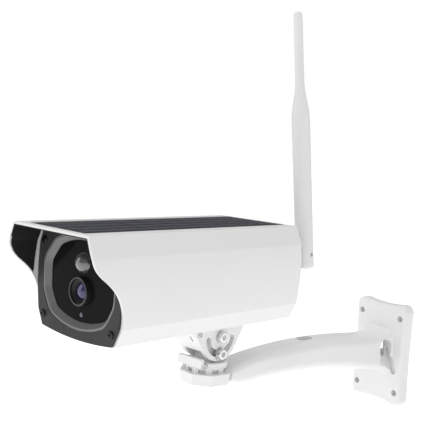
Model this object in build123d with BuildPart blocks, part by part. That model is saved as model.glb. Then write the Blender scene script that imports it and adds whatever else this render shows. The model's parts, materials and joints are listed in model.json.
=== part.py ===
from build123d import *
import os
from math import acos, atan2, cos, degrees, hypot, radians, sin

# Solar-powered security camera on a die-cast wall bracket.
# Millimetres. The origin is the centre of the wall plate's back face: +Y goes into the wall,
# the arm reaches out along -Y and +Z is up. The camera head is built on its own plane, turned a
# little about the pan axis, with local x to its side, local y to its rear and z up.

os.makedirs("parts", exist_ok=True)

# Driving dimensions: wall plate and arm
plate_width = 57.8
plate_height = 93.5
plate_thick = 10
plate_side_dip = 1.2
plate_end_dip = 3.4
plate_corner = 6.5
bolt_spacing_x = 43.7
bolt_spacing_z = 66.4
bolt_hole = 2.75
reach = 204
rest_pan = 9

# Pan joint, from the cup under the arm's end up to the flange that turns on it
cup_low = -1.8
cup_high = 6.6
cup_flats = 38
spindle_radius = 7
ring_high = 10.35
flange_low = 10.4
flange_high = 14.6
flange_radius = 16

# Tilt joint
pivot_y = 0.5
pivot_z = 33.8
cheek_half = 12.4
tongue_half = 8.2
cheek_inner = 8.4
cheek_radius = 18.8
slot_radius = 12.8
bolt_radius = 2.5
bolt_run = 0.05
plate_under = 40.9
rail_under = 43.1
rail_top = 45.4

# Housing
tip_y = -148
housing_length = 196
housing_top = 118.2
crown_low = 45.5
wall = 1.6
liner_thick = 0.6
visor_depth = 25.5
visor_start = 108.2
visor_end = 62
face_y = -124.2
bezel_thick = 6.1
rear_y = tip_y + housing_length
cover_thick = 4

# Features of the face, as x and z
lens_z = 76.6
pir_z = 95.2
light_z = 61.1
window_z = 82.9
window_front = face_y + 3.8
window_thick = 2
boss_spots = [(37.6, 105.6), (-37.6, 105.6), (35.8, 56), (-35.8, 56)]

# Solar panel
panel_width = 57.4
panel_length = 187.7
panel_start = 5.7

# Antenna, hinged behind the rear cover
antenna_x = 33.1
antenna_y = 68
antenna_z = 94.5
antenna_lean = 7.2
jack_radius = 3.2

head = Plane(
    origin=(0, -reach, 0),
    x_dir=(cos(radians(rest_pan)), sin(radians(rest_pan)), 0),
    z_dir=(0, 0, 1),
)


def across(y):
    """A plane square to the housing's length at y: local x to the side, local y up, facing forward."""
    return Plane(origin=head.from_local_coords((0, y, 0)), x_dir=head.x_dir, z_dir=-head.y_dir)


def beside(x):
    """A plane square to the tilt axis at x: local x to the rear, local y up, facing +x."""
    return Plane(origin=head.from_local_coords((x, 0, 0)), x_dir=head.y_dir, z_dir=head.x_dir)


def level(z):
    """A level plane at height z: local x to the side, local y to the rear."""
    return Plane(origin=head.from_local_coords((0, 0, z)), x_dir=head.x_dir, z_dir=(0, 0, 1))


def plate_outline(plane, inset=0):
    """The wall plate's outline: a rectangle with dished sides and rounded corners."""
    x = plate_width / 2
    z = plate_height / 2
    with BuildSketch(plane) as drawn:
        with BuildLine():
            ThreePointArc((-x, z), (0, z - plate_end_dip), (x, z))
            ThreePointArc((x, z), (x - plate_side_dip, 0), (x, -z))
            ThreePointArc((x, -z), (0, plate_end_dip - z), (-x, -z))
            ThreePointArc((-x, -z), (plate_side_dip - x, 0), (-x, z))
        make_face()
        fillet(drawn.vertices(), plate_corner)
        if inset:
            offset(amount=-inset, mode=Mode.REPLACE)
    return drawn.sketch


def housing_section(plane, inset=0):
    """The housing's outline: flat top, sloped shoulders, bowed sides and a crowned underside."""
    top_corner = (39.4, housing_top)
    shoulder = (44.8, 104.8)
    side_middle = (46, 88)
    lower_shoulder = (43.8, 60)
    bottom_corner = (38, 48.3)
    crown = (0, crown_low)
    with BuildSketch(plane) as drawn:
        with BuildLine():
            Line(top_corner, shoulder)
            ThreePointArc(shoulder, side_middle, lower_shoulder)
            Line(lower_shoulder, bottom_corner)
            mirror(about=Plane.YZ)
            Line(top_corner, (-top_corner[0], housing_top))
            ThreePointArc(bottom_corner, crown, (-bottom_corner[0], bottom_corner[1]))
        make_face()
        corners = drawn.vertices()
        fillet(corners.filter_by_position(Axis.Y, 104, 106), 3)
        fillet(corners.filter_by_position(Axis.Y, 59, 62), 7)
        fillet(corners.filter_by_position(Axis.Y, 48, 49), 3)
        fillet(corners.filter_by_position(Axis.Y, 118, 119), 1.4)
        if inset:
            offset(amount=-inset, mode=Mode.REPLACE)
    return drawn.sketch


def visor_cut(setback=0):
    """The space in front of the visor's S-shaped edge, seen from the side."""
    front = tip_y + setback
    low = 40
    with BuildSketch(beside(0)) as drawn:
        with BuildLine():
            Spline(
                (front, visor_start),
                (front + 0.495 * visor_depth, 89.2),
                (front + visor_depth, visor_end),
                tangents=[(0, -1), (0, -1)],
            )
            Line((front + visor_depth, visor_end), (front + visor_depth, low))
            Line((front + visor_depth, low), (front - 10, low))
            Line((front - 10, low), (front - 10, visor_start))
            Line((front - 10, visor_start), (front, visor_start))
        make_face()
    return drawn.sketch


def window_outline(plane, grow=0):
    """The window's outline: a rounded form with a domed top and a bellied bottom."""
    with BuildSketch(plane) as drawn:
        with BuildLine():
            Line((33.2, 9), (24, 20.5))
            Line((32.6, -9), (26, -20.3))
            Line((33.2, 9), (32.6, -9))
            mirror(about=Plane.YZ)
            ThreePointArc((24, 20.5), (0, 26.2), (-24, 20.5))
            ThreePointArc((26, -20.3), (0, -26.2), (-26, -20.3))
        make_face()
        fillet(drawn.vertices(), 9)
        if grow:
            offset(amount=grow, mode=Mode.REPLACE)
    return drawn.sketch


def window_plane(y):
    """A plane across the housing whose origin is the middle of the window."""
    return Plane(origin=head.from_local_coords((0, y, window_z)), x_dir=head.x_dir, z_dir=-head.y_dir)


# ------------------------------------------------------------------ wall bracket
def arm_section(distance, centre_z, half_width, half_height, corner):
    """One section of the arm at a distance from the plate's front."""
    plane = Plane(origin=(0, -plate_thick - distance, centre_z), x_dir=(1, 0, 0), z_dir=(0, -1, 0))
    with BuildSketch(plane) as drawn:
        RectangleRounded(2 * half_width, 2 * half_height, corner)
    return drawn.sketch


plate_front = Plane(origin=(0, -plate_thick, 0), x_dir=(1, 0, 0), z_dir=(0, -1, 0))
plate_back = Plane(origin=(0, 0, 0), x_dir=(1, 0, 0), z_dir=(0, -1, 0))
cup_plane = Plane(origin=(0, -reach, cup_low), x_dir=(1, 0, 0), z_dir=(0, 0, 1))
arm_length = reach - plate_thick
pocket_depth = 3
passage_end = 104
cap_middle = 93

with BuildPart() as arm_bracket:
    extrude(plate_outline(plate_back), amount=plate_thick)
    rim = arm_bracket.faces().sort_by(Axis.Y)[0].edges()
    fillet(rim, 3)
    # The arm swells at the plate, arches and narrows to the cup.
    loft(
        [
            arm_section(0, 2.6, 17.5, 20.5, 10),
            arm_section(7, 2.6, 14.4, 17.4, 8),
            arm_section(22, 2.8, 13.2, 15.2, 7.5),
            arm_section(52, 5.6, 12.8, 13.8, 7.5),
            arm_section(90, 7.7, 12.6, 12.5, 7.5),
            arm_section(125, 7.0, 12.4, 11.3, 7.5),
            arm_section(158, 3.9, 12.4, 9.6, 6),
            arm_section(arm_length - 16, 1.6, 12.4, 4.9, 4),
        ]
    )
    # Eight-sided cup, drawn in towards its foot
    with BuildSketch(cup_plane):
        RegularPolygon(cup_flats / 2 - 1.2, 8, major_radius=False, rotation=22.5)
    with BuildSketch(cup_plane.offset(cup_high - cup_low)):
        RegularPolygon(cup_flats / 2, 8, major_radius=False, rotation=22.5)
    loft()
    with Locations(cup_plane.offset(cup_high - cup_low)):
        Cylinder(
            spindle_radius + bolt_run,
            cup_high - cup_low,
            align=(Align.CENTER, Align.CENTER, Align.MAX),
            mode=Mode.SUBTRACT,
        )
    with Locations(cup_plane):
        Cylinder(13, 4.2, align=(Align.CENTER, Align.CENTER, Align.MIN), mode=Mode.SUBTRACT)
    # Hollow back of the plate, with a square post left round each bolt
    with BuildSketch(plate_back) as pocket:
        Rectangle(plate_width - 10, plate_height - 18)
        with GridLocations(bolt_spacing_x, bolt_spacing_z, 2, 2):
            Rectangle(12, 12, mode=Mode.SUBTRACT)
        fillet(pocket.vertices(), 1.5)
    extrude(amount=pocket_depth, mode=Mode.SUBTRACT)
    with BuildSketch(plate_back):
        with GridLocations(bolt_spacing_x, bolt_spacing_z, 2, 2):
            Circle(bolt_hole)
    extrude(amount=plate_thick, mode=Mode.SUBTRACT)
    # Cable passage from the wall to the oval opening on top of the arm
    with BuildSketch(plate_back):
        with Locations((0, 6.5)):
            RectangleRounded(13, 11, 3)
    extrude(amount=plate_thick + passage_end, mode=Mode.SUBTRACT)
    with BuildSketch(Plane(origin=(0, -plate_thick - cap_middle, 6.5), x_dir=(0, 1, 0), z_dir=(0, 0, 1))):
        SlotOverall(15, 8)
    extrude(amount=30, mode=Mode.SUBTRACT)
    # Oval way out at the arm's root, with a groove that leads the cable down the plate
    with BuildSketch(Plane(origin=(0, -plate_thick - 7, 6), x_dir=(0, 1, 0), z_dir=(1, 0, 0))):
        SlotOverall(16, 11, rotation=90)
    extrude(amount=30, mode=Mode.SUBTRACT)
    with BuildSketch(plate_front.offset(-2.5)):
        with Locations((15, -5)):
            SlotCenterToCenter(hypot(8, 18), 6, rotation=degrees(atan2(-18, 8)))
    extrude(amount=14, mode=Mode.SUBTRACT)
arm_bracket.part.label = "arm_bracket"
export_step(arm_bracket.part, "parts/arm_bracket.step")

# Rubber cap that closes the oval opening on the arm
with BuildPart() as arm_cap:
    with BuildSketch(Plane(origin=(0, -plate_thick - cap_middle, 14.5), x_dir=(0, 1, 0), z_dir=(0, 0, 1))):
        SlotOverall(14.8, 7.8)
    extrude(amount=6.2)
    fillet(arm_cap.faces().sort_by(Axis.Z)[-1].edges(), 0.6)
arm_cap.part.label = "arm_cap"
export_step(arm_cap.part, "parts/arm_cap.step")

# Notched friction ring, seated on the cup and clear of the spindle
with BuildPart(level(cup_high)) as pan_ring:
    Cylinder(15.3, ring_high - cup_high, align=(Align.CENTER, Align.CENTER, Align.MIN))
    Cylinder(
        spindle_radius + 0.4,
        ring_high - cup_high,
        align=(Align.CENTER, Align.CENTER, Align.MIN),
        mode=Mode.SUBTRACT,
    )
    with PolarLocations(15.3, 9, start_angle=-58):
        Box(5, 5.6, 2.9, align=(Align.CENTER, Align.CENTER, Align.MIN), mode=Mode.SUBTRACT)
pan_ring.part.label = "pan_ring"
export_step(pan_ring.part, "parts/pan_ring.step")

# ------------------------------------------------------------------ pan head
nut_low = cup_low - 0.1
nut_height = 3.2
tongue_back = 14
tongue_radius = 15.2
neck_front = -4.7
stop_front = -18.5
stop_back = -15.5
stop_half = 12.2
stop_high = 18.5
lock_z = pivot_z - slot_radius
screw_turn = -50

rim_middle = (flange_low + flange_high) / 2
rim_direction = head.x_dir * cos(radians(screw_turn)) + head.y_dir * sin(radians(screw_turn))
rim_plane = Plane(
    origin=head.from_local_coords((0, 0, rim_middle)) + rim_direction * flange_radius,
    z_dir=rim_direction,
)


def about_pivot(radius, angle):
    """The rear and up distances of a point about the pivot."""
    return (pivot_y + radius * cos(radians(angle)), pivot_z + radius * sin(radians(angle)))


with BuildPart() as pan_head:
    with BuildSketch(level(flange_low)):
        Circle(flange_radius)
    extrude(amount=flange_high - flange_low)
    chamfer(pan_head.edges().filter_by(GeomType.CIRCLE), 0.5)
    with BuildSketch(level(flange_low)):
        Circle(spindle_radius)
    extrude(amount=nut_low - flange_low)
    # Square stop in front, which stands on the flange and hides the gap under the saddle's wall
    with BuildSketch(beside(-stop_half)):
        with BuildLine():
            Polyline(
                (stop_front, flange_high - 2.4),
                (stop_front, stop_high),
                (stop_back, stop_high),
                (stop_back, flange_high),
                (-8, flange_high),
                (-8, flange_high - 2.4),
                close=True,
            )
        make_face()
    extrude(amount=2 * stop_half)
    # Tongue that rises between the saddle's cheeks, rounded where the saddle's wall passes it
    with BuildSketch(beside(-tongue_half)):
        with BuildLine():
            ThreePointArc(
                about_pivot(tongue_radius, 195),
                about_pivot(tongue_radius, 222),
                about_pivot(tongue_radius, 250),
            )
            Polyline(
                about_pivot(tongue_radius, 250),
                (neck_front, flange_high - 1),
                (tongue_back, flange_high - 1),
                (tongue_back, 26),
                (pivot_y + 7.5, 36),
                (-8.5, 34.2),
                about_pivot(tongue_radius, 195),
            )
        make_face()
        with Locations((pivot_y, pivot_z)):
            Circle(6.8)
    extrude(amount=2 * tongue_half)
    with BuildSketch(beside(-tongue_half)):
        with Locations((pivot_y, pivot_z), (pivot_y, lock_z)):
            Circle(bolt_radius)
    extrude(amount=2 * tongue_half, mode=Mode.SUBTRACT)
    # Way for the cable up the spindle
    with BuildSketch(level(nut_low)):
        Circle(3.2)
    extrude(amount=20, mode=Mode.SUBTRACT)
    # Tapped hole for the pan lock screw in the flange's rim, with room in front for its head
    with BuildSketch(rim_plane):
        Circle(1.25)
    extrude(amount=-5, mode=Mode.SUBTRACT)
    with BuildSketch(rim_plane):
        Circle(2.3)
    extrude(amount=6, mode=Mode.SUBTRACT)
pan_head.part.label = "pan_head"
export_step(pan_head.part, "parts/pan_head.step")

with BuildPart(level(nut_low)) as pan_nut:
    with BuildSketch(level(nut_low)):
        RegularPolygon(9.5, 6, major_radius=False)
        Circle(spindle_radius, mode=Mode.SUBTRACT)
    extrude(amount=nut_height)
pan_nut.part.label = "pan_nut"
export_step(pan_nut.part, "parts/pan_nut.step")

with BuildPart(level(nut_low + nut_height)) as pan_washer:
    Cylinder(11.5, 1, align=(Align.CENTER, Align.CENTER, Align.MIN))
    Cylinder(spindle_radius, 1, align=(Align.CENTER, Align.CENTER, Align.MIN), mode=Mode.SUBTRACT)
pan_washer.part.label = "pan_washer"
export_step(pan_washer.part, "parts/pan_washer.step")


def socket_screw(plane, shank_radius, shank_length, head_radius, head_height, socket):
    """A socket-head screw whose head stands on the plane and whose shank goes back through it."""
    with BuildPart(plane) as screw:
        Cylinder(head_radius, head_height, align=(Align.CENTER, Align.CENTER, Align.MIN))
        top = screw.faces().sort_by(Axis(plane.origin, plane.z_dir))[-1]
        fillet(top.edges(), 0.25 * head_height)
        Cylinder(shank_radius, shank_length, align=(Align.CENTER, Align.CENTER, Align.MAX))
        with BuildSketch(plane.offset(head_height)):
            RegularPolygon(socket / 2, 6, major_radius=False)
        extrude(amount=-0.6 * head_height, mode=Mode.SUBTRACT)
    return screw.part


def hex_nut(plane, bore, flats, height):
    """A hexagon nut that stands on the plane."""
    with BuildPart() as nut:
        with BuildSketch(plane):
            RegularPolygon(flats / 2, 6, major_radius=False)
            Circle(bore, mode=Mode.SUBTRACT)
        extrude(amount=height)
    return nut.part


def washer(plane, bore, radius, height):
    """A flat washer that lies on the plane."""
    with BuildPart() as ring:
        with BuildSketch(plane):
            Circle(radius)
            Circle(bore, mode=Mode.SUBTRACT)
        extrude(amount=height)
    return ring.part


with BuildPart() as pan_lock_screw:
    add(socket_screw(rim_plane, 1.25, 5, 2.05, 1.6, 2))
pan_lock_screw.part.label = "pan_lock_screw"
export_step(pan_lock_screw.part, "parts/pan_lock_screw.step")

# Two bolts cross the tongue: the upper is the pivot, the lower runs in the cheeks' curved slots.
side_gap = 0.1
washer_thick = 0.8
near_side = cheek_half + side_gap
far_side = -cheek_half - side_gap
bolt_length = 2 * near_side + 2 * washer_thick + 4


def bolt_plane(x, z):
    """A plane beside the cheeks, centred on a bolt and facing +x."""
    return Plane(origin=head.from_local_coords((x, pivot_y, z)), x_dir=head.y_dir, z_dir=head.x_dir)


with BuildPart() as pivot_bolt:
    add(socket_screw(bolt_plane(near_side + washer_thick, pivot_z), bolt_radius, bolt_length, 4.1, 3, 4))
pivot_bolt.part.label = "pivot_bolt"
export_step(pivot_bolt.part, "parts/pivot_bolt.step")

with BuildPart() as lock_bolt:
    add(socket_screw(bolt_plane(near_side + washer_thick, lock_z), bolt_radius, bolt_length, 4.1, 3, 4))
lock_bolt.part.label = "lock_bolt"
export_step(lock_bolt.part, "parts/lock_bolt.step")

with BuildPart() as bolt_washers:
    for z in (pivot_z, lock_z):
        add(washer(bolt_plane(near_side, z), bolt_radius, 4.7, washer_thick))
        add(washer(bolt_plane(far_side - washer_thick, z), bolt_radius, 4.7, washer_thick))
bolt_washers.part.label = "bolt_washers"
export_step(bolt_washers.part, "parts/bolt_washers.step")

with BuildPart() as bolt_nuts:
    for z in (pivot_z, lock_z):
        add(hex_nut(bolt_plane(far_side - washer_thick - 3.6, z), bolt_radius, 8, 3.6))
bolt_nuts.part.label = "bolt_nuts"
export_step(bolt_nuts.part, "parts/bolt_nuts.step")

# ------------------------------------------------------------------ saddle and rail
saddle_front = -26.5
saddle_back = 25
saddle_under = 37.9
front_wall = 3
front_wall_low = 24
front_corner = hypot(saddle_front - pivot_y, saddle_under - pivot_z)
front_slope = degrees(atan2(saddle_under - pivot_z, saddle_front - pivot_y) + acos(cheek_radius / front_corner))
floor_high = crown_low + wall + 0.05
saddle_screw_spots = [(0, -18), (0, 17)]
rail_screw_spots = [(0, -6), (0, 34)]

def curved_slot(plane, start, end):
    """A round-ended slot about the pivot, between two angles, wide enough for the lock bolt."""
    half_slot = bolt_radius + bolt_run

    def polar(radius, angle, along=0):
        across_point = (radius * cos(radians(angle)), radius * sin(radians(angle)))
        tangent = (-sin(radians(angle)), cos(radians(angle)))
        return (
            pivot_y + across_point[0] + along * tangent[0],
            pivot_z + across_point[1] + along * tangent[1],
        )

    middle = (start + end) / 2
    outer = slot_radius + half_slot
    inner = slot_radius - half_slot
    with BuildSketch(plane) as drawn:
        with BuildLine():
            ThreePointArc(polar(outer, start), polar(outer, middle), polar(outer, end))
            ThreePointArc(polar(inner, start), polar(inner, middle), polar(inner, end))
            ThreePointArc(polar(outer, start), polar(slot_radius, start, -half_slot), polar(inner, start))
            ThreePointArc(polar(outer, end), polar(slot_radius, end, half_slot), polar(inner, end))
        make_face()
    return drawn.sketch


def wall_inside(y):
    """The height of the front wall's inner face at a distance to the rear."""
    depth = cheek_radius - front_wall
    slope = radians(front_slope)
    return pivot_z + (depth - (y - pivot_y) * cos(slope)) / sin(slope)


with BuildPart() as saddle:
    with BuildSketch(beside(-cheek_half)):
        with Locations((pivot_y, pivot_z)):
            Circle(cheek_radius)
        with Locations(((saddle_front + saddle_back) / 2, 40.5)):
            Rectangle(saddle_back - saddle_front, 2 * (40.5 - saddle_under))
        make_hull()
        with Locations((0, rail_under)):
            Rectangle(80, 30, align=(Align.CENTER, Align.MIN), mode=Mode.SUBTRACT)
    extrude(amount=2 * cheek_half)
    # Space between the cheeks, closed in front by a wall along the saddle's slanted edge
    with BuildSketch(beside(-cheek_inner)):
        with BuildLine():
            Polyline(
                (saddle_front + 3.7, plate_under),
                (saddle_front + 3.7, wall_inside(saddle_front + 3.7)),
                (-12, wall_inside(-12)),
                (-12, front_wall_low),
                (-40, front_wall_low),
                (-40, 0),
                (40, 0),
                (40, plate_under),
                close=True,
            )
        make_face()
    extrude(amount=2 * cheek_inner, mode=Mode.SUBTRACT)
    with Locations(bolt_plane(0, pivot_z)):
        Cylinder(bolt_radius + bolt_run, 60, mode=Mode.SUBTRACT)
    # Curved slots, concentric with the pivot
    extrude(curved_slot(beside(-cheek_half), 188, 348), amount=2 * cheek_half, mode=Mode.SUBTRACT)
    # Slot in the front wall and the screw holes up into the rail
    with BuildSketch(across(saddle_front)):
        with Locations((5.5, 34)):
            SlotOverall(4.6, 1.8, rotation=90)
    extrude(amount=-6, mode=Mode.SUBTRACT)
    with Locations(level(plate_under)):
        with Locations(saddle_screw_spots):
            Cylinder(2, 10, mode=Mode.SUBTRACT)
    with Locations(beside(cheek_half)):
        with Locations((-21.5, 37.6)):
            Cylinder(1.3, 3, align=(Align.CENTER, Align.CENTER, Align.MAX), mode=Mode.SUBTRACT)
saddle.part.label = "saddle"
export_step(saddle.part, "parts/saddle.step")

with BuildPart() as saddle_set_screw:
    set_screw_plane = Plane(
        origin=head.from_local_coords((cheek_half, -21.5, 37.6)), x_dir=head.y_dir, z_dir=head.x_dir
    )
    add(socket_screw(set_screw_plane, 1.3, 3, 1.9, 0.9, 1.6))
saddle_set_screw.part.label = "saddle_set_screw"
export_step(saddle_set_screw.part, "parts/saddle_set_screw.step")

with BuildPart() as mount_rail:
    with BuildSketch(level(rail_under)):
        with Locations((0, saddle_front)):
            Rectangle(24, 65.5, align=(Align.CENTER, Align.MIN))
    extrude(amount=rail_top - rail_under)
    with Locations(level(rail_under)):
        with Locations(saddle_screw_spots + rail_screw_spots):
            Cylinder(2, 20, mode=Mode.SUBTRACT)
mount_rail.part.label = "mount_rail"
export_step(mount_rail.part, "parts/mount_rail.step")


def flat_screw(plane, shank_radius, shank_length, head_radius, head_height):
    """A cross-recessed screw with a low domed head that stands on the plane."""
    slot_depth = 0.6 * head_height
    with BuildPart() as screw:
        with BuildSketch(plane):
            Circle(head_radius)
        extrude(amount=head_height)
        top = screw.faces().sort_by(Axis(plane.origin, plane.z_dir))[-1]
        fillet(top.edges(), 0.6 * head_height)
        with BuildSketch(plane):
            Circle(shank_radius)
        extrude(amount=-shank_length)
        with BuildSketch(plane.offset(head_height)):
            Rectangle(1.3 * head_radius, 0.28 * head_radius)
            Rectangle(0.28 * head_radius, 1.3 * head_radius)
        extrude(amount=-slot_depth, mode=Mode.SUBTRACT)
    return screw.part


def spot(plane, x, y):
    """The plane shifted so that its origin is at its own x and y."""
    return Plane(origin=plane.from_local_coords((x, y, 0)), x_dir=plane.x_dir, z_dir=plane.z_dir)


# Screws up through the saddle into the rail, and down from the housing's floor into the rail
with BuildPart() as saddle_screws:
    underside = Plane(
        origin=head.from_local_coords((0, 0, plate_under)), x_dir=head.x_dir, z_dir=(0, 0, -1)
    )
    for x, y in saddle_screw_spots:
        add(flat_screw(spot(underside, x, -y), 2, 4, 3.4, 1.2))
saddle_screws.part.label = "saddle_screws"
export_step(saddle_screws.part, "parts/saddle_screws.step")

with BuildPart() as rail_screws:
    for x, y in rail_screw_spots:
        add(flat_screw(spot(level(floor_high), x, y), 2, floor_high - rail_under, 3.6, 1.6))
rail_screws.part.label = "rail_screws"
export_step(rail_screws.part, "parts/rail_screws.step")

# ------------------------------------------------------------------ housing
bezel_back = face_y + bezel_thick
gasket_thick = 1
boss_front = bezel_back + gasket_thick
boss_rear = rear_y - cover_thick - gasket_thick
panel_front = tip_y + panel_start
panel_middle = panel_front + panel_length / 2
panel_low = housing_top - 1
boss_hole = 1.35
liner_side_top = 112

with BuildPart() as housing_shell:
    extrude(housing_section(across(tip_y)), amount=-housing_length)
    extrude(housing_section(across(tip_y), wall), amount=-housing_length, mode=Mode.SUBTRACT)
    # Screw channels along the four corners
    with BuildSketch(across(boss_front)):
        with Locations(boss_spots):
            Circle(5)
        add(housing_section(Plane.XY, 0.8 * wall), mode=Mode.INTERSECT)
        with Locations(boss_spots):
            Circle(boss_hole, mode=Mode.SUBTRACT)
    extrude(amount=boss_front - boss_rear)
    extrude(visor_cut(), amount=60, both=True, mode=Mode.SUBTRACT)
    # Seat for the solar panel
    with BuildSketch(level(panel_low)):
        with Locations((0, panel_middle)):
            Rectangle(panel_width + 0.2, panel_length + 0.2)
    extrude(amount=5, mode=Mode.SUBTRACT)
    with BuildSketch(level(40)):
        with Locations(rail_screw_spots):
            Circle(2)
    extrude(amount=20, mode=Mode.SUBTRACT)
housing_shell.part.label = "housing_shell"
export_step(housing_shell.part, "parts/housing_shell.step")

# Black lining inside the visor: it follows the S-shaped edge, and on the sides it stops short of
# the face, along a slanted line
with BuildPart() as visor_liner:
    extrude(housing_section(across(tip_y), wall), amount=-(face_y - tip_y))
    extrude(housing_section(across(tip_y), wall + liner_thick), amount=-(face_y - tip_y), mode=Mode.SUBTRACT)
    extrude(visor_cut(1), amount=60, both=True, mode=Mode.SUBTRACT)
    with BuildSketch(beside(0)):
        with BuildLine():
            Polyline(
                (face_y - 1.8, liner_side_top),
                (face_y - 5, 66),
                (face_y + 5, 66),
                (face_y + 5, liner_side_top),
                close=True,
            )
        make_face()
    extrude(amount=60, both=True, mode=Mode.SUBTRACT)
visor_liner.part.label = "visor_liner"
export_step(visor_liner.part, "parts/visor_liner.step")

# ------------------------------------------------------------------ face
frame_width = 5
frame_front = face_y + 0.4
frame_slope = window_front - frame_front
lip_back = tip_y + visor_depth - 0.1
lip_drop = 2


def end_lip():
    """The lip of the bezel, which covers the housing's end below the visor."""
    with BuildPart() as lip:
        extrude(housing_section(across(face_y), 0.2), amount=face_y - lip_back)
        lowered = housing_section(spot(across(face_y), 0, -lip_drop), wall + 0.6)
        extrude(lowered, amount=face_y - lip_back, mode=Mode.INTERSECT)
        extrude(visor_cut(-0.1), amount=60, both=True, mode=Mode.INTERSECT)
    return lip.part


with BuildPart() as front_bezel:
    extrude(housing_section(across(face_y), wall + 0.1), amount=-bezel_thick)
    chamfer(front_bezel.faces().sort_by(Axis(head.origin, -head.y_dir))[-1].edges(), 0.5)
    add(end_lip())
    extrude(window_outline(window_plane(face_y), frame_width), amount=-20, mode=Mode.SUBTRACT)
    with BuildSketch(across(face_y)):
        with Locations(boss_spots):
            Circle(boss_hole)
    extrude(amount=-20, mode=Mode.SUBTRACT)
front_bezel.part.label = "front_bezel"
export_step(front_bezel.part, "parts/front_bezel.step")

# Ring that slopes down from the bezel to the window
with BuildPart() as window_frame:
    extrude(window_outline(window_plane(frame_front), frame_width), amount=-(bezel_back - frame_front))
    extrude(window_outline(window_plane(frame_front)), amount=-20, mode=Mode.SUBTRACT)
    front_ring = window_frame.faces().sort_by(Axis(head.origin, -head.y_dir))[-1]
    chamfer(front_ring.inner_wires()[0].edges(), frame_slope, 4.2, reference=front_ring)
window_frame.part.label = "window_frame"
export_step(window_frame.part, "parts/window_frame.step")

with BuildPart() as front_gasket:
    extrude(housing_section(across(bezel_back), wall), amount=-gasket_thick)
    extrude(housing_section(across(bezel_back), wall + 1.5), amount=-gasket_thick, mode=Mode.SUBTRACT)
front_gasket.part.label = "front_gasket"
export_step(front_gasket.part, "parts/front_gasket.step")

with BuildPart() as bezel_screws:
    for x, z in boss_spots:
        add(flat_screw(spot(across(face_y), x, z), boss_hole, 12, 2.5, 1.3))
bezel_screws.part.label = "bezel_screws"
export_step(bezel_screws.part, "parts/bezel_screws.step")

lens_hole = 9.6
pir_hole = 7.2
light_hole = 2.1
window_back = window_front + window_thick

with BuildPart() as window_plate:
    extrude(window_outline(window_plane(window_front)), amount=-window_thick)
    with BuildSketch(across(window_front)):
        with Locations((0, lens_z)):
            Circle(lens_hole)
        with Locations((0, pir_z)):
            Circle(pir_hole)
        with Locations((0, light_z)):
            Circle(light_hole)
    extrude(amount=-window_thick, mode=Mode.SUBTRACT)
window_plate.part.label = "window_plate"
export_step(window_plate.part, "parts/window_plate.step")


def forward_plane(x, y, z):
    """A plane whose local y points forward along the housing: for parts turned about that axis."""
    return Plane(origin=head.from_local_coords((x, y, z)), x_dir=head.x_dir, z_dir=(0, 0, 1)).rotated(
        (0, 0, 180)
    )


# Domed cover of the motion sensor
dome_height = 4.8
dome_base = pir_hole - 0.1
dome_radius = (dome_base**2 + dome_height**2) / (2 * dome_height)

with BuildPart() as pir_lens:
    with BuildSketch(forward_plane(0, window_front, pir_z)):
        with BuildLine():
            top = (0, dome_height)
            side = (dome_base, 0)
            waist = (dome_radius * sin(radians(40)), dome_height - dome_radius * (1 - cos(radians(40))))
            ThreePointArc(top, waist, side)
            Polyline(side, (dome_base, -window_thick), (8.2, -window_thick), (8.2, -window_thick - 1))
            Line((8.2, -window_thick - 1), (0, -window_thick - 1))
            Line((0, -window_thick - 1), top)
        make_face()
    revolve(axis=Axis(forward_plane(0, window_front, pir_z).origin, -head.y_dir))
    with BuildSketch(across(window_back + 1)):
        with Locations((0, pir_z)):
            Circle(5.8)
    extrude(amount=window_thick + 1, mode=Mode.SUBTRACT)
pir_lens.part.label = "pir_lens"
export_step(pir_lens.part, "parts/pir_lens.step")

# ------------------------------------------------------------------ lens and sensors
board_front = -100
board_thick = 1.6
ring_front = window_front - 3.6
barrel_front = window_front - 2.4
glass_front = window_front - 0.8
glass_edge = glass_front + 0.4
holder_front = -109
led_ring = 16.5
led_angles = [0, 40, 140, 180, 218, 322]

with BuildPart() as lens_ring:
    with BuildSketch(across(ring_front)):
        with Locations((0, lens_z)):
            Circle(lens_hole - 0.1)
            Circle(8.2, mode=Mode.SUBTRACT)
    extrude(amount=-(window_back - ring_front))
    ring_face = lens_ring.faces().sort_by(Axis(head.origin, -head.y_dir))[-1]
    fillet(ring_face.outer_wire().edges(), 0.5)
lens_ring.part.label = "lens_ring"
export_step(lens_ring.part, "parts/lens_ring.step")

barrel_plane = forward_plane(0, 0, lens_z)
with BuildPart() as lens_barrel:
    with BuildSketch(barrel_plane):
        with BuildLine():
            Polyline(
                (5.4, -glass_front),
                (7.6, -barrel_front),
                (8.1, -barrel_front),
                (8.1, -window_back - 1),
                (7, -window_back - 2),
                (7, -board_front + 2),
                (5.4, -board_front + 2),
                close=True,
            )
        make_face()
    revolve(axis=Axis(barrel_plane.origin, -head.y_dir))
lens_barrel.part.label = "lens_barrel"
export_step(lens_barrel.part, "parts/lens_barrel.step")

with BuildPart() as lens_glass:
    with BuildSketch(barrel_plane):
        with BuildLine():
            ThreePointArc((0, 1.9 - glass_edge), (2.9, 1.35 - glass_edge), (5.4, -glass_edge))
            Polyline((5.4, -glass_edge), (5.4, -glass_edge - 2.6), (0, -glass_edge - 2.6))
            Line((0, -glass_edge - 2.6), (0, 1.9 - glass_edge))
        make_face()
    revolve(axis=Axis(barrel_plane.origin, -head.y_dir))
lens_glass.part.label = "lens_glass"
export_step(lens_glass.part, "parts/lens_glass.step")

with BuildPart() as lens_holder:
    with BuildSketch(across(board_front)):
        with Locations((0, lens_z)):
            RectangleRounded(18, 18, 2)
            Circle(7, mode=Mode.SUBTRACT)
    extrude(amount=board_front - holder_front)
lens_holder.part.label = "lens_holder"
export_step(lens_holder.part, "parts/lens_holder.step")

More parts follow.
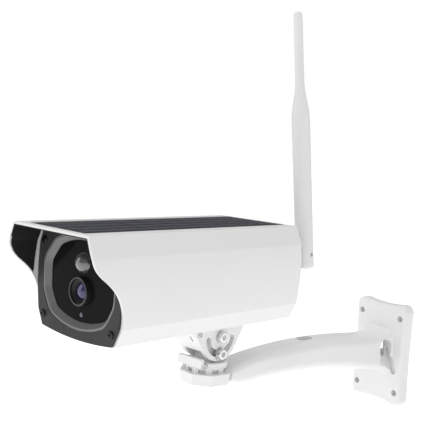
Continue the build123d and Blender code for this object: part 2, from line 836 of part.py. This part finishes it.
with BuildPart() as image_sensor:
    with BuildSketch(across(board_front)):
        with Locations((0, lens_z)):
            Rectangle(7, 6)
    extrude(amount=1.2)
image_sensor.part.label = "image_sensor"
export_step(image_sensor.part, "parts/image_sensor.step")

with BuildPart() as sensor_board:
    with BuildSketch(across(board_front)):
        with Locations((0, 80)):
            RectangleRounded(62, 48, 3)
    extrude(amount=-board_thick)
sensor_board.part.label = "sensor_board"
export_step(sensor_board.part, "parts/sensor_board.step")


def pin_spots(x, z, spacing):
    """Two pins side by side about a point."""
    return [(x - spacing / 2, z), (x + spacing / 2, z)]


with BuildPart() as pir_sensor:
    with BuildSketch(across(-108)):
        with Locations((0, pir_z)):
            Circle(4.6)
    extrude(amount=4.2)
    with BuildSketch(across(board_front)):
        with Locations(pin_spots(0, pir_z, 5)):
            Circle(0.3)
    extrude(amount=9)
pir_sensor.part.label = "pir_sensor"
export_step(pir_sensor.part, "parts/pir_sensor.step")

with BuildPart() as light_sensor:
    with BuildSketch(across(window_front + 5)):
        with Locations((0, light_z)):
            Circle(light_hole - 0.1)
    extrude(amount=4.9)
    fillet(light_sensor.faces().sort_by(Axis(head.origin, -head.y_dir))[-1].edges(), 1)
    with BuildSketch(across(board_front)):
        with Locations(pin_spots(0, light_z, 2.2)):
            Circle(0.3)
    extrude(amount=board_front - window_front - 4)
light_sensor.part.label = "light_sensor"
export_step(light_sensor.part, "parts/light_sensor.step")

led_spots = [
    (led_ring * cos(radians(angle)), lens_z + led_ring * sin(radians(angle))) for angle in led_angles
]
with BuildPart() as infrared_leds:
    with BuildSketch(across(window_back + 8)):
        with Locations(led_spots):
            Circle(2.5)
    extrude(amount=7.5)
    fillet(infrared_leds.faces().group_by(Axis(head.origin, -head.y_dir))[-1].edges(), 2)
    with BuildSketch(across(board_front)):
        for x, z in led_spots:
            with Locations(pin_spots(x, z, 2.54)):
                Circle(0.3)
    extrude(amount=board_front - window_back - 7)
infrared_leds.part.label = "infrared_leds"
export_step(infrared_leds.part, "parts/infrared_leds.step")

# ------------------------------------------------------------------ inside the housing
cell_radius = 9.1
cell_length = 65
cell_pitch = 19.4
cell_z = 63.4
tray_low = 51.5
tray_wall = 1.6
tray_front = -95
tray_rear = boss_rear - 2
main_board_z = 102

with BuildPart() as battery_tray:
    with BuildSketch(level(tray_low)):
        with Locations((0, (tray_front + tray_rear) / 2)):
            Rectangle(3 * cell_pitch + 3, tray_rear - tray_front)
    extrude(amount=16)
    with BuildSketch(level(tray_low + tray_wall)):
        with Locations((0, (tray_front + tray_rear) / 2)):
            Rectangle(3 * cell_pitch, tray_rear - tray_front - 2 * tray_wall)
    extrude(amount=16, mode=Mode.SUBTRACT)
battery_tray.part.label = "battery_tray"
export_step(battery_tray.part, "parts/battery_tray.step")

with BuildPart() as battery_cells:
    for start in (tray_front + 2.4, tray_front + 2.4 + cell_length + 1.5):
        with BuildSketch(across(start)):
            with Locations((-cell_pitch, cell_z), (0, cell_z), (cell_pitch, cell_z)):
                Circle(cell_radius)
        extrude(amount=-cell_length)
battery_cells.part.label = "battery_cells"
export_step(battery_cells.part, "parts/battery_cells.step")

with BuildPart() as main_board:
    with BuildSketch(level(main_board_z)):
        with Locations((0, -40)):
            RectangleRounded(62, 96, 3)
    extrude(amount=board_thick)
main_board.part.label = "main_board"
export_step(main_board.part, "parts/main_board.step")

with BuildPart() as wifi_module:
    with BuildSketch(level(main_board_z + board_thick)):
        with Locations((14, -12)):
            Rectangle(18, 26)
    extrude(amount=2.6)
wifi_module.part.label = "wifi_module"
export_step(wifi_module.part, "parts/wifi_module.step")

with BuildPart() as speaker:
    with BuildSketch(level(main_board_z)):
        with Locations((-14, -70)):
            Circle(10)
    extrude(amount=-5)
speaker.part.label = "speaker"
export_step(speaker.part, "parts/speaker.step")

# ------------------------------------------------------------------ solar panel
backing_thick = 0.8
cell_thick = 0.2
cover_sheet = 0.5
cell_border = 3
cells_along = 10
cell_gap = 0.9
cells_low = panel_low + backing_thick
sheet_low = cells_low + cell_thick
solar_cell_length = (panel_length - 2 * cell_border) / cells_along
solar_cell_width = (panel_width - 2 * cell_border) / 2

with BuildPart() as solar_backing:
    with BuildSketch(level(panel_low)):
        with Locations((0, panel_middle)):
            Rectangle(panel_width, panel_length)
    extrude(amount=backing_thick)
solar_backing.part.label = "solar_backing"
export_step(solar_backing.part, "parts/solar_backing.step")

with BuildPart() as solar_cells:
    with BuildSketch(level(cells_low)):
        with Locations((0, panel_middle)):
            with GridLocations(solar_cell_width, solar_cell_length, 2, cells_along):
                Rectangle(solar_cell_width - cell_gap, solar_cell_length - cell_gap)
    extrude(amount=cell_thick)
solar_cells.part.label = "solar_cells"
export_step(solar_cells.part, "parts/solar_cells.step")

with BuildPart() as solar_cover:
    with BuildSketch(level(sheet_low)):
        with Locations((0, panel_middle)):
            Rectangle(panel_width, panel_length)
    extrude(amount=cover_sheet)
solar_cover.part.label = "solar_cover"
export_step(solar_cover.part, "parts/solar_cover.step")

# ------------------------------------------------------------------ rear cover
cover_front = rear_y - cover_thick
sunk_depth = 1
button_spot = (-16, 76)
button_radius = 4.5
button_hole = button_radius + 0.1
port_spot = (0, 60)
jack_spot = (antenna_x, antenna_z)

with BuildPart() as rear_cover:
    extrude(housing_section(across(cover_front), wall + 0.1), amount=-cover_thick)
    rear_face = rear_cover.faces().sort_by(Axis(head.origin, head.y_dir))[-1]
    chamfer(rear_face.edges(), 0.6)
    # Shallow panel sunk into the cover's outside
    with BuildSketch(across(rear_y)):
        with Locations((0, 82)):
            RectangleRounded(52, 54, 5)
    extrude(amount=sunk_depth, mode=Mode.SUBTRACT)
    with BuildSketch(across(cover_front)):
        with Locations(boss_spots):
            Circle(boss_hole)
        with Locations(jack_spot):
            Circle(jack_radius)
        with Locations(button_spot):
            Circle(button_hole)
        with Locations(port_spot):
            RectangleRounded(12, 6, 2)
    extrude(amount=-cover_thick, mode=Mode.SUBTRACT)
rear_cover.part.label = "rear_cover"
export_step(rear_cover.part, "parts/rear_cover.step")

with BuildPart() as rear_gasket:
    extrude(housing_section(across(boss_rear), wall), amount=-gasket_thick)
    extrude(housing_section(across(boss_rear), wall + 1.5), amount=-gasket_thick, mode=Mode.SUBTRACT)
rear_gasket.part.label = "rear_gasket"
export_step(rear_gasket.part, "parts/rear_gasket.step")

rear_plane = Plane(origin=head.from_local_coords((0, rear_y, 0)), x_dir=-head.x_dir, z_dir=head.y_dir)
with BuildPart() as rear_screws:
    for x, z in boss_spots:
        add(flat_screw(spot(rear_plane, -x, z), boss_hole, 12, 2.5, 1.3))
rear_screws.part.label = "rear_screws"
export_step(rear_screws.part, "parts/rear_screws.step")

with BuildPart() as port_plug:
    with BuildSketch(across(cover_front)):
        with Locations(port_spot):
            RectangleRounded(12, 6, 2)
    extrude(amount=sunk_depth - cover_thick)
    with BuildSketch(across(rear_y - sunk_depth)):
        with Locations(port_spot):
            RectangleRounded(15, 9, 3)
    extrude(amount=-1.6)
    fillet(port_plug.faces().sort_by(Axis(head.origin, head.y_dir))[-1].edges(), 0.6)
port_plug.part.label = "port_plug"
export_step(port_plug.part, "parts/port_plug.step")

# Push button: its collar inside the cover keeps it from coming out.
button_out = 1.8
with BuildPart() as power_button:
    with BuildSketch(across(cover_front)):
        with Locations(button_spot):
            Circle(button_radius)
    extrude(amount=sunk_depth - cover_thick - button_out)
    fillet(power_button.faces().sort_by(Axis(head.origin, head.y_dir))[-1].edges(), 0.7)
    with BuildSketch(across(cover_front)):
        with Locations(button_spot):
            Circle(button_radius + 1.2)
    extrude(amount=0.8)
power_button.part.label = "power_button"
export_step(power_button.part, "parts/power_button.step")

# ------------------------------------------------------------------ antenna
jack_end = 55.2
sleeve_front = 50.8
sleeve_rear = 55.6
lug_radius = 5.6
lug_half = 2.6
pin_radius = 1.5
whip_radius = 7.1
tip_radius = 3.5
whip_foot = -10.9
cone_start = 104
cone_end = 136
whip_top = 189.5

lean = radians(antenna_lean)
up = Vector(0, 0, 1)
whip_side = head.x_dir * cos(lean) + up * sin(lean)
whip_up = up * cos(lean) - head.x_dir * sin(lean)
pin_origin = head.from_local_coords((antenna_x, antenna_y, antenna_z))
whip_face = Plane(origin=pin_origin, x_dir=whip_side, z_dir=-head.y_dir)
whip_edge = Plane(origin=pin_origin, x_dir=head.y_dir, z_dir=whip_side)
jack_plane = Plane(
    origin=head.from_local_coords((antenna_x, 0, antenna_z)), x_dir=whip_side, z_dir=head.y_dir
)

with BuildPart() as antenna_jack:
    with BuildSketch(jack_plane.offset(38)):
        Circle(jack_radius)
    extrude(amount=jack_end - 38)
    with BuildSketch(jack_plane.offset(cover_front - 2)):
        RegularPolygon(4.6, 6, major_radius=False)
    extrude(amount=2)
antenna_jack.part.label = "antenna_jack"
export_step(antenna_jack.part, "parts/antenna_jack.step")

with BuildPart() as jack_nut:
    add(hex_nut(jack_plane.offset(rear_y), jack_radius, 9.4, 2.4))
jack_nut.part.label = "jack_nut"
export_step(jack_nut.part, "parts/jack_nut.step")

# Knurled sleeve that turns on the jack, with the lug that the whip folds about
with BuildPart() as antenna_swivel:
    with BuildSketch(jack_plane.offset(sleeve_front)):
        Circle(5.2)
        with PolarLocations(5.2, 18):
            Circle(0.45, mode=Mode.SUBTRACT)
    extrude(amount=sleeve_rear - sleeve_front)
    with BuildSketch(jack_plane.offset(sleeve_rear)):
        Circle(4.4)
        Rectangle(2 * lug_half, 20, mode=Mode.INTERSECT)
    extrude(amount=antenna_y - sleeve_rear)
    with BuildSketch(whip_edge.offset(-lug_half)):
        Circle(lug_radius)
    extrude(amount=2 * lug_half)
    with BuildSketch(jack_plane.offset(sleeve_front)):
        Circle(jack_radius + bolt_run)
    extrude(amount=jack_end + 0.3 - sleeve_front, mode=Mode.SUBTRACT)
    with BuildSketch(whip_edge.offset(-lug_half)):
        Circle(pin_radius)
    extrude(amount=2 * lug_half, mode=Mode.SUBTRACT)
antenna_swivel.part.label = "antenna_swivel"
export_step(antenna_swivel.part, "parts/antenna_swivel.step")

with BuildPart() as antenna_pin:
    with BuildSketch(whip_edge.offset(-whip_radius + 0.3)):
        Circle(pin_radius)
    extrude(amount=2 * whip_radius - 0.6)
antenna_pin.part.label = "antenna_pin"
export_step(antenna_pin.part, "parts/antenna_pin.step")

with BuildPart() as antenna_whip:
    with BuildSketch(whip_face):
        with BuildLine():
            Line((0, whip_foot), (whip_radius - 2.5, whip_foot))
            ThreePointArc(
                (whip_radius - 2.5, whip_foot),
                (whip_radius - 2.5 + 2.5 * sin(radians(45)), whip_foot + 2.5 * (1 - cos(radians(45)))),
                (whip_radius, whip_foot + 2.5),
            )
            Line((whip_radius, whip_foot + 2.5), (whip_radius, cone_start))
            Spline(
                (whip_radius, cone_start),
                (tip_radius, cone_end),
                tangents=[(0, 1), (0, 1)],
            )
            Line((tip_radius, cone_end), (tip_radius, whip_top - tip_radius))
            ThreePointArc(
                (tip_radius, whip_top - tip_radius),
                (tip_radius * sin(radians(45)), whip_top - tip_radius * (1 - cos(radians(45)))),
                (0, whip_top),
            )
            Line((0, whip_top), (0, whip_foot))
        make_face()
    revolve(axis=Axis(pin_origin, whip_up))
    # Slot for the lug, open to the front and at the foot
    with BuildSketch(whip_edge.offset(-lug_half - 0.3)):
        Circle(lug_radius + 0.4)
        with Locations((0, 0)):
            Rectangle(20, 2 * (lug_radius + 0.4), align=(Align.MAX, Align.CENTER))
            Rectangle(2 * (lug_radius + 0.4), 20, align=(Align.CENTER, Align.MAX))
            Rectangle(20, 20, align=(Align.MAX, Align.MAX))
    extrude(amount=2 * (lug_half + 0.3), mode=Mode.SUBTRACT)
    with BuildSketch(whip_edge.offset(-20)):
        Circle(pin_radius + bolt_run)
    extrude(amount=40, mode=Mode.SUBTRACT)
antenna_whip.part.label = "antenna_whip"
export_step(antenna_whip.part, "parts/antenna_whip.step")
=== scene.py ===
import json
from math import cos, pi, radians, sin

import bpy
from mathutils import Matrix, Vector

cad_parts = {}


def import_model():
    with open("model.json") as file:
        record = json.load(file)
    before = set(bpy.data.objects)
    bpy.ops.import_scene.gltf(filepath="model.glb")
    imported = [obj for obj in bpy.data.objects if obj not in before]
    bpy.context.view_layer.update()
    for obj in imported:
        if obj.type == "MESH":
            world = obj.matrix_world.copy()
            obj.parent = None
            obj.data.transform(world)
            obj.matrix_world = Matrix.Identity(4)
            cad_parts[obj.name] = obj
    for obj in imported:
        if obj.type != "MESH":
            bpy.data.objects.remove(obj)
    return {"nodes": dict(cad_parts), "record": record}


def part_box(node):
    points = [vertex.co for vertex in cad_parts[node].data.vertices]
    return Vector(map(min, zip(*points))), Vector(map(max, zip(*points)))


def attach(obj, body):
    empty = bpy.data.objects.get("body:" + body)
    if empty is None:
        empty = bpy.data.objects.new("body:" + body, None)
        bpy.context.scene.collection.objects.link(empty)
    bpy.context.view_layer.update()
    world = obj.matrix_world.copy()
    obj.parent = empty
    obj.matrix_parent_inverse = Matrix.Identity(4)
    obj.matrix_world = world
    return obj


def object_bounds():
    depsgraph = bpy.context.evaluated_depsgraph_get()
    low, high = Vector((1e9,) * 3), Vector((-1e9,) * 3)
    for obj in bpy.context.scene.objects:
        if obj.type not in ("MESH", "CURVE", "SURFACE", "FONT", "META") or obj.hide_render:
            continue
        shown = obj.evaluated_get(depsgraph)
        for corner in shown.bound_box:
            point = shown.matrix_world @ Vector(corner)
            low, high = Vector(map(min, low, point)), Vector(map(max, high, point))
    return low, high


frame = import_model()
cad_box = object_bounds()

MM = 0.001
REST_PAN = radians(9)          # the camera head is turned this far about the pan axis at rest
REACH = 204 * MM               # from the wall to the pan axis
nodes = frame["nodes"]


# ---------------------------------------------------------------- node tools
class Shader:
    """One Principled material, with short calls for the nodes that feed it."""

    def __init__(self, name, **sockets):
        self.material = bpy.data.materials.new(name)
        self.material.use_nodes = True
        self.tree = self.material.node_tree
        self.bsdf = self.tree.nodes["Principled BSDF"]
        for socket, value in sockets.items():
            self.set(socket.replace("_", " "), value)

    def set(self, socket, value):
        if isinstance(value, tuple) and len(value) == 3:
            value = (*value, 1)
        self.bsdf.inputs[socket].default_value = value

    def node(self, kind, **values):
        made = self.tree.nodes.new("ShaderNode" + kind)
        for key, value in values.items():
            setattr(made, key, value)
        return made

    def link(self, source, target):
        self.tree.links.new(source, target)

    def place(self, scale=(1, 1, 1), turn=0):
        """Object coordinates, turned about z and scaled."""
        coordinates = self.node("TexCoord")
        mapping = self.node("Mapping")
        mapping.inputs["Rotation"].default_value = (0, 0, turn)
        mapping.inputs["Scale"].default_value = scale
        self.link(coordinates.outputs["Object"], mapping.inputs["Vector"])
        return mapping.outputs["Vector"]

    def noise(self, scale, detail=2.0, vector=None):
        made = self.node("TexNoise")
        made.inputs["Scale"].default_value = scale
        made.inputs["Detail"].default_value = detail
        self.link(vector or self.place(), made.inputs["Vector"])
        return made.outputs["Fac"]

    def ramp(self, source, low, high, start=0.35, end=0.65):
        """A number that goes from low to high as the source goes from start to end."""
        made = self.node("MapRange")
        made.inputs["From Min"].default_value = start
        made.inputs["From Max"].default_value = end
        made.inputs["To Min"].default_value = low
        made.inputs["To Max"].default_value = high
        self.link(source, made.inputs["Value"])
        return made.outputs["Result"]

    def blend(self, factor, first, second):
        """A colour between two colours; each is a tuple or another node's output."""
        made = self.node("Mix", data_type="RGBA")
        for index, value in ((6, first), (7, second)):
            if isinstance(value, tuple):
                made.inputs[index].default_value = (*value, 1)
            else:
                self.link(value, made.inputs[index])
        self.link(factor, made.inputs[0])
        return made.outputs[2]

    def math(self, operation, first, second=0.0):
        made = self.node("Math", operation=operation)
        for index, value in enumerate((first, second)):
            if isinstance(value, (int, float)):
                made.inputs[index].default_value = value
            else:
                self.link(value, made.inputs[index])
        return made.outputs[0]

    def colour(self, source):
        self.link(source, self.bsdf.inputs["Base Color"])

    def rough(self, source):
        self.link(source, self.bsdf.inputs["Roughness"])

    def bump(self, height, depth, strength=1.0):
        """Raises the surface by the height times the depth, in metres."""
        made = self.node("Bump")
        made.inputs["Strength"].default_value = strength
        made.inputs["Distance"].default_value = depth
        self.link(height, made.inputs["Height"])
        self.link(made.outputs["Normal"], self.bsdf.inputs["Normal"])


# ---------------------------------------------------------------- materials
def coated(name, light, shade, roughness, grain, depth, mottle=14):
    """A coated or moulded surface: slow mottling, fine grain and uneven gloss."""
    made = Shader(name)
    made.colour(made.blend(made.ramp(made.noise(mottle, 3), 0, 1), light, shade))
    made.rough(made.ramp(made.noise(mottle * 6, 4), roughness - 0.05, roughness + 0.05))
    made.bump(made.noise(grain, 3), depth)
    return made


def metal(name, tint, roughness, brush=(1, 1, 1), depth=0.00001):
    """Plated metal with fine machining marks along one direction."""
    made = Shader(name, Metallic=1.0)
    marks = made.noise(900, 3, made.place(brush))
    dark = tuple(0.82 * value for value in tint)
    made.colour(made.blend(made.ramp(marks, 0, 1), tint, dark))
    made.rough(made.ramp(made.noise(120, 3), roughness - 0.06, roughness + 0.08))
    made.bump(marks, depth)
    return made


def solar_silicon():
    """Silicon cells: crystal mottling and fine silver fingers; the busbars are pieces of their own."""
    made = Shader("solar_silicon", Specular_IOR_Level=0.15)
    along = made.place(turn=-REST_PAN)
    split = made.node("SeparateXYZ")
    made.link(along, split.inputs[0])
    crystals = made.node("TexVoronoi")
    crystals.inputs["Scale"].default_value = 260
    made.link(along, crystals.inputs["Vector"])
    grain = made.ramp(crystals.outputs["Color"], 0, 1, 0.1, 0.9)
    silicon = made.blend(grain, (0.012, 0.015, 0.034), (0.022, 0.028, 0.055))
    finger = made.math("LESS_THAN", made.math("PINGPONG", split.outputs["Y"], 1.1 * MM), 0.09 * MM)
    silicon = made.blend(made.math("MULTIPLY", finger, 0.35), silicon, (0.30, 0.31, 0.34))
    made.colour(silicon)
    made.rough(made.ramp(grain, 0.34, 0.46, 0, 1))
    made.bump(crystals.outputs["Distance"], 0.00002)
    return made


def coated_glass(name, tint, clear, coat):
    """Optical glass or epoxy: a tint that varies a little, under a coloured coating."""
    made = Shader(name, Transmission_Weight=clear, IOR=1.5, Coat_Weight=1.0, Coat_Roughness=0.02)
    made.set("Coat Tint", coat)
    made.colour(made.blend(made.ramp(made.noise(220, 1), 0, 1), tint, tuple(0.85 * value for value in tint)))
    made.rough(made.ramp(made.noise(500, 2), 0.02, 0.06))
    return made


def circuit_board():
    """Green solder mask with copper tracks that show through it."""
    made = Shader("green_board")
    tracks = made.node("TexBrick")
    tracks.inputs["Scale"].default_value = 160
    tracks.inputs["Mortar Size"].default_value = 0.04
    made.link(made.place(turn=-REST_PAN), tracks.inputs["Vector"])
    made.colour(made.blend(tracks.outputs["Fac"], (0.012, 0.09, 0.03), (0.05, 0.2, 0.08)))
    made.rough(made.ramp(made.noise(300, 2), 0.3, 0.42))
    made.bump(tracks.outputs["Fac"], 0.00003)
    return made


def smoked_dome():
    """Dark glossy polythene with the shallow facets of a Fresnel cover."""
    made = Shader("smoked_dome", Coat_Weight=1.0, Coat_Roughness=0.05, Coat_IOR=1.9)
    facets = made.node("TexVoronoi")
    facets.inputs["Scale"].default_value = 420
    made.link(made.place(), facets.inputs["Vector"])
    made.colour(made.blend(facets.outputs["Distance"], (0.045, 0.046, 0.05), (0.085, 0.087, 0.09)))
    made.rough(made.ramp(made.noise(400, 2), 0.2, 0.3))
    made.bump(facets.outputs["Distance"], 0.00003)
    return made


def laminate():
    """The clear sheet over the cells: mostly see-through, with a lightly textured sheen."""
    made = Shader("solar_laminate", Alpha=0.16, Base_Color=(0.04, 0.045, 0.06))
    made.rough(made.ramp(made.noise(700, 2), 0.16, 0.26))
    made.bump(made.noise(1500, 2), 0.00001)
    return made


materials = {
    "white_paint": coated("white_paint", (0.80, 0.80, 0.80), (0.77, 0.77, 0.77), 0.42, 1500, 0.00006),
    "white_housing": coated("white_housing", (0.79, 0.79, 0.79), (0.775, 0.775, 0.775), 0.4, 2600, 0.00002),
    "white_plastic": coated("white_plastic", (0.78, 0.78, 0.78), (0.755, 0.755, 0.755), 0.38, 2200, 0.00002),
    "black_plastic": coated(
        "black_plastic", (0.016, 0.016, 0.017), (0.011, 0.011, 0.012),
        0.45, 1800, 0.00003),
    "dark_bezel": coated("dark_bezel", (0.040, 0.040, 0.042), (0.032, 0.032, 0.034), 0.5, 1700, 0.00004),
    "grey_frame": coated("grey_frame", (0.20, 0.20, 0.203), (0.175, 0.175, 0.178), 0.42, 1900, 0.00003),
    "panel_backing": coated(
        "panel_backing", (0.010, 0.010, 0.012), (0.006, 0.006, 0.008),
        0.4, 1500, 0.00002),
    "black_window": coated("black_window", (0.010, 0.010, 0.011), (0.008, 0.008, 0.009), 0.12, 400, 0.000004),
    "gloss_black": coated("gloss_black", (0.03, 0.03, 0.032), (0.02, 0.02, 0.022), 0.16, 900, 0.000006),
    "battery_wrap": coated("battery_wrap", (0.03, 0.10, 0.35), (0.025, 0.085, 0.3), 0.3, 500, 0.00002),
    "grey_rubber": coated("grey_rubber", (0.50, 0.50, 0.50), (0.44, 0.44, 0.44), 0.62, 1300, 0.00005),
    "black_rubber": coated("black_rubber", (0.022, 0.022, 0.022), (0.015, 0.015, 0.015), 0.66, 1300, 0.00005),
    "steel": metal("steel", (0.62, 0.62, 0.63), 0.34, (1, 1, 6)),
    "bright_steel": metal("bright_steel", (0.80, 0.80, 0.80), 0.16, (1, 1, 1), 0.000004),
    "dark_steel": metal("dark_steel", (0.06, 0.06, 0.065), 0.4),
    "brass": metal("brass", (0.83, 0.64, 0.30), 0.24, (6, 6, 1)),
    "solar_silicon": solar_silicon(),
    "solar_laminate": laminate(),
    "smoked_dome": smoked_dome(),
    "green_board": circuit_board(),
    "lens_glass": coated_glass("lens_glass", (0.05, 0.05, 0.16), 0.6, (0.75, 0.72, 1.0)),
    "sensor_glass": coated_glass("sensor_glass", (0.05, 0.055, 0.08), 0.2, (0.9, 0.9, 1.0)),
    "clear_epoxy": coated_glass("clear_epoxy", (0.75, 0.77, 0.85), 0.9, (1.0, 1.0, 1.0)),
}
# Dark surfaces that shine less than the default
DULLED = {"black_window": 0.03, "dark_bezel": 0.25, "black_plastic": 0.25, "panel_backing": 0.2}
for name, level in DULLED.items():
    materials[name].set("Specular IOR Level", level)

slots = {row["node"]: row["material_slot"] for row in frame["record"]["subparts"]}
for name, node in nodes.items():
    finish = materials[slots[name]]
    node.data.materials.clear()
    node.data.materials.append(finish.material)
    for polygon in node.data.polygons:
        polygon.material_index = 0


# ---------------------------------------------------------------- added pieces
HEAD = Matrix.Translation((0, -REACH, 0)) @ Matrix.Rotation(REST_PAN, 4, "Z")


def in_head(point):
    """A point in the row frame as side, rear and up distances in the turned head."""
    return HEAD.inverted() @ Vector(point)


def middle(name):
    low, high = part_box(name)
    return (low + high) / 2


def add_piece(name, vertices, faces, finish, smooth=True):
    """A mesh piece given in the head's own frame, which rides on the camera head."""
    mesh = bpy.data.meshes.new(name)
    mesh.from_pydata([HEAD @ Vector(vertex) for vertex in vertices], [], faces)
    mesh.validate()
    piece = bpy.data.objects.new(name, mesh)
    bpy.context.scene.collection.objects.link(piece)
    for polygon in mesh.polygons:
        polygon.use_smooth = smooth
    mesh.materials.append(finish.material)
    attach(piece, "camera_head")
    return piece


def turned(name, centre, profile, finish, steps=72):
    """A ring or dome turned about the lens direction from (radius, forward) points."""
    side, rear, up = centre
    vertices, faces = [], []
    rows = len(profile)
    for step in range(steps):
        angle = 2 * pi * step / steps
        for radius, forward in profile:
            vertices.append((side + radius * cos(angle), rear - forward, up + radius * sin(angle)))
    for step in range(steps):
        here = step * rows
        there = ((step + 1) % steps) * rows
        for row in range(rows - 1):
            faces.append((here + row, here + row + 1, there + row + 1, there + row))
    return add_piece(name, vertices, faces, finish)


def strips(name, boxes, finish):
    """Flat bars in one piece, each from a low corner to a high corner."""
    vertices, faces = [], []
    for low, high in boxes:
        first = len(vertices)
        for x in (low[0], high[0]):
            for y in (low[1], high[1]):
                for z in (low[2], high[2]):
                    vertices.append((x, y, z))
        for face in ((0, 1, 3, 2), (4, 6, 7, 5), (0, 4, 5, 1), (2, 3, 7, 6), (0, 2, 6, 4), (1, 5, 7, 3)):
            faces.append(tuple(first + corner for corner in face))
    return add_piece(name, vertices, faces, finish, smooth=False)


CONE_INNER = 5.5 * MM           # radii of the first and last steps down the lens cone
CONE_OUTER = 7.5 * MM
CONE_START = 0.5 * MM           # from the glass's middle to the first step
CONE_DEPTH = 1.5 * MM
STEP_COUNT = 6
STEP_RISE = 0.25 * MM
BUSBAR_HALF = 0.3 * MM
BUSBAR_PROUD = 0.06 * MM
BUSBAR_PLACES = (-0.75, -0.25, 0.25, 0.75)     # shares of the cells' half width


def lens_details():
    """Fine steps down the lens barrel's cone."""
    side, rear, up = in_head(middle("lens_ring"))
    rear = in_head(middle("lens_glass"))[1]
    steps = []
    for index in range(STEP_COUNT):
        share = index / (STEP_COUNT - 1)
        radius = CONE_INNER + (CONE_OUTER - CONE_INNER) * share
        forward = CONE_START + CONE_DEPTH * share
        steps += [(radius, forward), (radius, forward + STEP_RISE)]
    turned("lens_steps", (side, rear, up), steps, materials["gloss_black"])


def panel_details():
    """Silver busbars along the two rows of cells."""
    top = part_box("solar_cells")[1][2]
    edge = [in_head(vertex.co) for vertex in nodes["solar_cells"].data.vertices]
    side = max(point[0] for point in edge)
    front = min(point[1] for point in edge)
    rear = max(point[1] for point in edge)
    bars = []
    for share in BUSBAR_PLACES:
        x = side * share
        low = (x - BUSBAR_HALF, front, top)
        high = (x + BUSBAR_HALF, rear, top + BUSBAR_PROUD)
        bars.append((low, high))
    strips("solar_busbars", bars, materials["steel"])


lens_details()
panel_details()

# ---------------------------------------------------------------- stage, light and camera
FLOOR_DROP = 0.30
FLOOR_SIZE = 40
FLOOR_GLOW = 0.55
AMBIENT = 0.62
REFLECTED = 0.30


def floor():
    """A plain pale floor, well below the bracket."""
    bottom = cad_box[0][2]
    bpy.ops.mesh.primitive_plane_add(size=FLOOR_SIZE, location=(0, 0, bottom - FLOOR_DROP))
    ground = bpy.context.object
    ground.name = "floor"
    finish = Shader("floor", Roughness=0.9)
    finish.colour(finish.blend(finish.noise(3, 2), (0.93, 0.93, 0.93), (0.91, 0.91, 0.91)))
    finish.set("Emission Color", (1, 1, 1))
    finish.set("Emission Strength", FLOOR_GLOW)
    ground.data.materials.append(finish.material)


def world():
    """White surroundings: brightest seen directly, dimmest in glossy reflections."""
    made = bpy.data.worlds.new("studio")
    bpy.context.scene.world = made
    made.use_nodes = True
    tree = made.node_tree
    path = tree.nodes.new("ShaderNodeLightPath")

    def surroundings(strength):
        shine = tree.nodes.new("ShaderNodeBackground")
        shine.inputs["Color"].default_value = (1, 1, 1, 1)
        shine.inputs["Strength"].default_value = strength
        return shine.outputs[0]

    def choose(ray, first, second):
        mix = tree.nodes.new("ShaderNodeMixShader")
        tree.links.new(path.outputs[ray], mix.inputs[0])
        tree.links.new(first, mix.inputs[1])
        tree.links.new(second, mix.inputs[2])
        return mix.outputs[0]

    unseen = choose("Is Glossy Ray", surroundings(AMBIENT), surroundings(REFLECTED))
    whole = choose("Is Camera Ray", unseen, surroundings(1.0))
    tree.links.new(whole, tree.nodes["World Output"].inputs["Surface"])


def soft_light(name, place, aim, size, power):
    """A soft box that points at a place."""
    data = bpy.data.lights.new(name, "AREA")
    data.shape = "RECTANGLE"
    data.size, data.size_y = size
    data.energy = power
    light = bpy.data.objects.new(name, data)
    bpy.context.scene.collection.objects.link(light)
    light.location = place
    light.rotation_euler = (Vector(aim) - Vector(place)).to_track_quat("-Z", "Y").to_euler()


CAMERA_PLACE = Vector((0.4744, -0.5709, 0.1763))
CAMERA_AIM = Vector((-0.790, 0.607, -0.0863))
CAMERA_ROLL = radians(3.7)
LENS_MM = 68.3
LIT_POINT = (0, -0.2, 0.05)


def camera():
    """The view from the front right, a little above, rolled slightly anticlockwise."""
    data = bpy.data.cameras.new("camera")
    data.sensor_width = 36
    data.lens = LENS_MM
    data.clip_end = 100
    made = bpy.data.objects.new("camera", data)
    bpy.context.scene.collection.objects.link(made)
    ahead = CAMERA_AIM.normalized()
    level_right = ahead.cross(Vector((0, 0, 1))).normalized()
    level_up = level_right.cross(ahead)
    right = level_right * cos(CAMERA_ROLL) + level_up * sin(CAMERA_ROLL)
    up = right.cross(ahead)
    facing = Matrix((right, up, -ahead)).transposed().to_4x4()
    made.matrix_world = Matrix.Translation(CAMERA_PLACE) @ facing
    bpy.context.scene.camera = made


floor()
world()
soft_light("key", (1.4, -0.9, 1.5), LIT_POINT, (1.2, 1.2), 3)
soft_light("top", (-0.3, -0.3, 1.9), LIT_POINT, (1.6, 1.6), 12)
soft_light("front", (-0.9, -1.6, 0.5), LIT_POINT, (0.9, 0.9), 3)
camera()
bpy.context.scene.view_settings.view_transform = "Standard"
